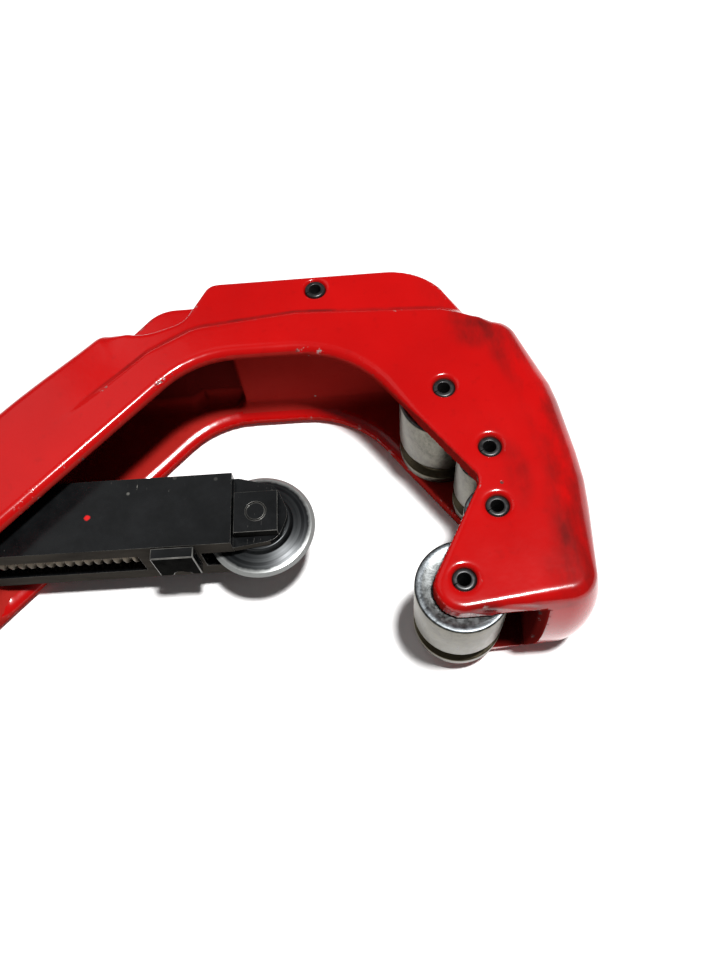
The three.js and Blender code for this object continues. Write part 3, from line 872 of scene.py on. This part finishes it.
def make_reamer():
    """The folded blade and the spring pin that it turns on."""
    _, half = box_centre("reamer_pin")
    spring_pin("reamer_spring_pin", np.array((*REAMER_PIN, 0.0)), half[2] - 0.1, "reamer_pin")
    blade = prism("reamer", (
        (-27.4, 56.4, 4.4), (-46, 57.2, 0), (-62, 56.4, 4), (-69.2, 50.8, 0.8), (-62, 47, 4),
        (-27.4, 47.4, 4.4), (-22.9, 51.9, 4.3)), -1.15, 1.15)
    blade = cut(blade, rod("cutter", (*REAMER_PIN, 0), PIN_R + 0.15, 3))
    dress(soften(blade, 0.35, 2), STEEL, "reamer", "reamer_blade")


def make_lever_pin():
    rivet = lathe("release_lever_rivet", rounded_profile(
        ((0, -16, 0), (1.9, -16, 0.7), (1.9, 16, 0.7), (0, 16, 0)), 30), (*LEVER_PIN, 0), "z", 48)
    dress(rivet, PIN_BLACK, "frame", "release_lever_pin")


# ------------------------------------------------------------------ slide with its wheel
def make_slide():
    """A square bar with two ears for the wheel, a bore for the screw and a slot beside it."""
    slide = bar("slide_bar", SLIDE_REAR, SLIDE_FRONT, -SLIDE_HALF_Y, SLIDE_HALF_Y,
                -SLIDE_HALF_Z, SLIDE_HALF_Z)
    ear = ((-52, SLIDE_HALF_Y, 0), (-46.2, SLIDE_HALF_Y, 2), (-37.9, 5.8, 4), (-35.2, -0.8, 5),
           (-37.6, -6.9, 4), (-47, -SLIDE_HALF_Y + 0.1, 3), (-52, -SLIDE_HALF_Y, 0))
    slide = join(slide, prism("ear", ear, EAR_BOTTOM - 1, EAR_TOP),
                 prism("ear", ear, -SLIDE_HALF_Z, EAR_FAR + 1))
    slide = cut(
        slide,
        bar("cutter", -54.5, -30, -20, 20, EAR_FAR, EAR_BOTTOM),
        rod("cutter", WHEEL, 2.6, 12),
        rod("cutter", (-131.6, SCREW_Y, 0), SCREW_R + CLEARANCE, 68.4, "x", 48),
        bar("cutter", -180, -68, -12, SCREW_Y, -4, 4),
        bar("cutter", -63.8, -56, -12, 0, -3.2, 4),
    )
    slide = soften(slide, 0.3, 2, 35, BLACK, WORN_EDGE)
    # The slide's -Y faces take painted light.
    paint_light_on_underside(dress(slide, BLACK, "slide", "slide"), BLACK_PAINTED_LIGHT)


def make_bearing_block():
    """The pad under the slide's front, whose stem holds the screw's nose."""
    pad = bar("bearing_block", -64.2, -55, -10.9, -8.4, -1.4, 8.4)
    stem = bar("stem", -63.5, -56.3, -8.9, -0.3, -2.9, 3.7)
    pad = join(pad, stem)
    pad = cut(pad, rod("cutter", (-59.2, -10.9, -1.4), 1.9, 1.6, "y", 32),
              rod("cutter", (-63.5, SCREW_Y, 0), 2.55, 6.5, "x", 32))
    pad = soften(pad, 0.25, 2, 35, BLACK, WORN_EDGE)
    # The pad's -Y faces take painted shade.
    paint_light_on_underside(dress(pad, BLACK, "slide", "screw_bearing_block"), BLACK_PAINTED_SHADE)


def make_wheel():
    profile = rounded_profile((
        (2.7, -3.3, 0.1), (6.9, -3.3, 0.5), (7.2, -1.6, 0.3), (11.25, -0.62, 0), (12.0, 0, 0),
        (11.25, 0.62, 0), (7.2, 1.6, 0.4), (6.9, 3.3, 0.5), (5.2, 3.3, 0), (4.9, 3.1, 0),
        (2.7, 3.1, 0.1)))
    wheel = lathe("wheel_disc", profile, WHEEL, "z", 144, 22)
    dress(wheel, WHEEL_STEEL, "cutter_wheel", "cutter_wheel")


def make_wheel_pin():
    """The wheel's pin with its square head, and the clip in a groove at its far end."""
    x, y, _ = WHEEL
    half_head = 4.7
    lug = bar("wheel_lug", x - half_head, x + half_head, y - half_head, y + half_head,
              EAR_TOP + 0.08, HEAD_TOP)
    shank = rod("shank", WHEEL + (0, 0, -2.2), 2.4, 8.65, "z", 48)
    head_centre = WHEEL + (0, 0, HEAD_TOP)
    ring = lathe("cutter", [(1.95, 0.3), (2.25, 0.3), (2.25, -0.55), (1.95, -0.55)], head_centre)
    dimple = lathe("cutter", [(0, -0.35), (0.9, 0.3), (0, 0.3)], head_centre, "z", 32)
    groove = lathe("cutter", [(1.85, -9.95), (4, -9.95), (4, -9.05), (1.85, -9.05)], WHEEL)
    lug = cut(join(lug, shank), ring, dimple, groove)
    lug = soften(lug, 0.28, 2, 40, BLACK, WORN_EDGE)
    # The pin's -Y faces take painted shade.
    paint_light_on_underside(dress(lug, BLACK, "slide", "wheel_pin"), BLACK_PAINTED_SHADE)

    clip = lathe("e_clip", [(2.05, -9.8), (4.2, -9.8), (4.2, -9.2), (2.05, -9.2)], WHEEL, "z", 64)
    clip = cut(clip, bar("cutter", -43.5, -40.5, -8, -1.2, -11, -8))
    dress(soften(clip, 0.1, 1), STEEL, "slide", "wheel_pin_clip")


# ------------------------------------------------------------------ feed screw and knob
def make_feed_screw():
    """The thread, with a nose at the front and a plain tail that carries the knob."""
    axis = (0, SCREW_Y, 0)
    screw = threaded_rod("screw_thread", SCREW_Y, SCREW_R, THREAD_DEPTH, THREAD_PITCH,
                         SCREW_REAR, SCREW_FRONT)
    nose = rounded_profile(((0, -66, 0), (2.35, -66, 0), (2.35, -57.6, 0.5), (0, -57.6, 0)), 30)
    tail = [(0, -228), (2.95, -228), (2.95, -188.5), (0, -188.5)]
    screw = join(screw, lathe("nose", nose, axis, "x", 32), lathe("tail", tail, axis, "x", 32))
    screw = cut(screw, rod("cutter", (KNOB_PIN_X, SCREW_Y, 0), 1.4, 6))
    dress(tidy_mesh(screw, 40), THREAD, "feed_screw", "feed_screw")


def make_bush_and_washer():
    axis = (0, SCREW_Y, 0)
    bush = lathe("bronze_bush", rounded_profile(
        ((3.15, -198.6, 0.2), (4.1, -198.6, 0.2), (4.1, -190, 0.3), (3.15, -190, 0.2)), 45),
        axis, "x")
    dress(bush, BRONZE, "slide", "screw_bush")
    washer = lathe("plated_washer", rounded_profile(
        ((3.2, -200.4, 0.2), (6.6, -200.4, 0.3), (6.6, -199.3, 0.3), (3.2, -199.3, 0.2)), 45),
        axis, "x")
    dress(washer, ZINC, "feed_screw", "thrust_washer")


def knob():
    """A fluted knob with a smooth collar: rings of points along X with scalloped sides."""
    centre, half = box_centre("knob")
    front, rear, radius = centre[0] + half[0], centre[0] - half[0], half[2]
    # Each ring's place, its radius, and how much of the flutes' depth it has.
    stations = [
        (front, 6.9, 0), (front, 7.8, 0), (front - 0.25, 8.3, 0), (front - 0.9, 8.6, 0),
        (front - 8.2, 8.6, 0), (front - 8.9, 8.8, 0), (front - 9.5, 9.6, 0),
        (front - 10, 11.2, 0.1), (front - 10.8, 13.2, 0.35), (front - 12, 14.5, 0.75),
        (front - 13.6, radius - 0.15, 1.0), (front - 15, radius, 1.0), (front - 24, radius, 1.0),
        (rear + 5.4, radius, 1.0), (rear + 3.6, radius - 0.4, 1.0), (rear + 2.0, radius - 1.1, 0.8),
        (rear + 0.9, radius - 2.2, 0.5), (rear + 0.2, radius - 3.6, 0.2), (rear, radius - 4.8, 0.0),
        (rear, radius - 6.4, 0), (rear + 0.7, radius - 7.2, 0), (rear + 0.8, radius - 9.5, 0),
        (rear + 0.8, 1.5, 0),
    ]
    flutes, flute_depth, sides = 8, 1.5, 160
    angles = np.linspace(0, 2 * np.pi, sides, endpoint=False)
    wave = smoothstep(0.05, 1.0, -np.cos(flutes * angles))
    points = []
    for x, r, share in stations:
        rr = r - flute_depth * share * wave
        points += [(x, SCREW_Y + q * math.cos(a), q * math.sin(a)) for q, a in zip(rr, angles)]
    piece = tidy_mesh(new_mesh("fluted_knob", points, tube_faces(len(stations), sides)), 50)
    bore = rod("cutter", (front - 12, SCREW_Y, 0), 3.1, 16.2, "x", 48)
    cross = rod("cutter", (KNOB_PIN_X, SCREW_Y, 0), 1.4, 12)
    return tidy_mesh(cut(piece, bore, cross), 40)


def make_knob():
    """The knob and its cross pin."""
    dress(knob(), PLASTIC, "feed_screw", "knob")
    cross_pin = lathe("knob_cross_pin", rounded_profile(
        ((0, -8.9, 0), (1.3, -8.9, 0.5), (1.3, 8.9, 0.5), (0, 8.9, 0)), 30),
        (KNOB_PIN_X, SCREW_Y, 0), "z", 32)
    dress(cross_pin, PIN_BLACK, "feed_screw", "knob_pin")


# ------------------------------------------------------------------ release lever and spring
def make_release_lever():
    """The rocker with the half nut under the screw, and the coil that its tab rises round."""
    rocker = prism("release_rocker", (
        (-148, -14.4, 2), (-148, -22.6, 3), (-121, -22.6, 0), (-117, -27, 3), (-106.6, -27, 3),
        (-106.6, -16.4, 3), (-119.5, -16.4, 0), (-122, -14.4, 0)), -5, 5)
    rocker = join(rocker, bar("nut", -146, -131, -16, -5.6, -3.6, 3.6))
    grips = [rod("cutter", (x, -27.3, 0), 0.7, 6, "z", 20) for x in (-115, -112.6, -110.2, -107.8)]
    trough = rod("cutter", (-140, SCREW_Y, 0), SCREW_R + 0.15, 20, "x", 48)
    well = rod("cutter", (SPRING_X, -17.6, 0), 2.8, 3.9, "y", 32)
    bore = rod("cutter", (*LEVER_PIN, 0), 2.12, 8)
    rocker = cut(rocker, trough, well, bore, *grips)
    dress(soften(rocker, 0.35, 2), BLACK, "release_lever", "release_lever")
    spring = coil("release_coil", (SPRING_X, 0, 0), 2.0, 0.33, 1.25, -19.4, -12.4, "y")
    dress(spring, STEEL, "frame", "release_spring")


make_frame()
for place in PLACES:
    make_roller(place)
make_reamer()
make_lever_pin()
make_slide()
make_bearing_block()
make_wheel()
make_wheel_pin()
make_feed_screw()
make_bush_and_washer()
make_knob()
make_release_lever()


# ------------------------------------------------------------------ camera, floor and lights
def look(obj, right, up, forward):
    """Turns a camera by the directions of its right, its top and its view."""
    obj.matrix_world = Matrix((
        (right[0], up[0], -forward[0], obj.location[0]),
        (right[1], up[1], -forward[1], obj.location[1]),
        (right[2], up[2], -forward[2], obj.location[2]),
        (0, 0, 0, 1),
    ))


def add_camera():
    """A camera above the jaw's near side, looking a little back and down."""
    data = bpy.data.cameras.new("camera")
    data.lens = 31.875
    data.sensor_width = 36
    data.clip_start = 0.01
    camera = bpy.data.objects.new("camera", data)
    camera.location = (np.array((-14.90, -76.86, 172.25)) + ORIGIN_SHIFT) * MM
    look(camera, (0.99761, -0.04705, -0.05056), (0.06461, 0.89448, 0.44242),
         (-0.02441, 0.44463, -0.89538))
    bpy.context.scene.collection.objects.link(camera)
    bpy.context.scene.camera = camera


def add_table():
    bpy.ops.mesh.primitive_plane_add(size=6, location=(0, 0, -0.0002))
    table = bpy.context.object
    table.name = "table"
    m = Material("white_table", 0.0)
    cloudy = m.ramp(m.noise(40, 3), 0.3, 0.7)
    pale = m.mix(cloudy, (0.90, 0.89, 0.88), (0.93, 0.92, 0.915))
    table.data.materials.append(m.finish(pale, m.ramp(m.noise(200), 0.3, 0.7, 0.5, 0.6)))


def lamp(name, size, power, location, target):
    data = bpy.data.lights.new(name, "AREA")
    data.shape = "SQUARE"
    data.size = size
    data.energy = power
    light = bpy.data.objects.new(name, data)
    light.location = location
    direction = Vector(target) - Vector(location)
    light.rotation_euler = direction.to_track_quat("-Z", "Y").to_euler()
    bpy.context.scene.collection.objects.link(light)


def add_world(strength):
    world = bpy.data.worlds.new("studio")
    bpy.context.scene.world = world
    world.use_nodes = True
    background = world.node_tree.nodes["Background"]
    background.inputs["Color"].default_value = (1, 1, 1, 1)
    background.inputs["Strength"].default_value = strength
    bpy.context.scene.view_settings.view_transform = "Standard"


add_camera()
add_table()
lamp("key", 0.09, 13.5, (0.12, -0.035, 0.9), (-0.02, -0.01, 0.0))
lamp("left", 0.8, 1.2, (-0.66, 0.5, 0.95), (-0.06, 0.0, 0.0))
add_world(0.12)
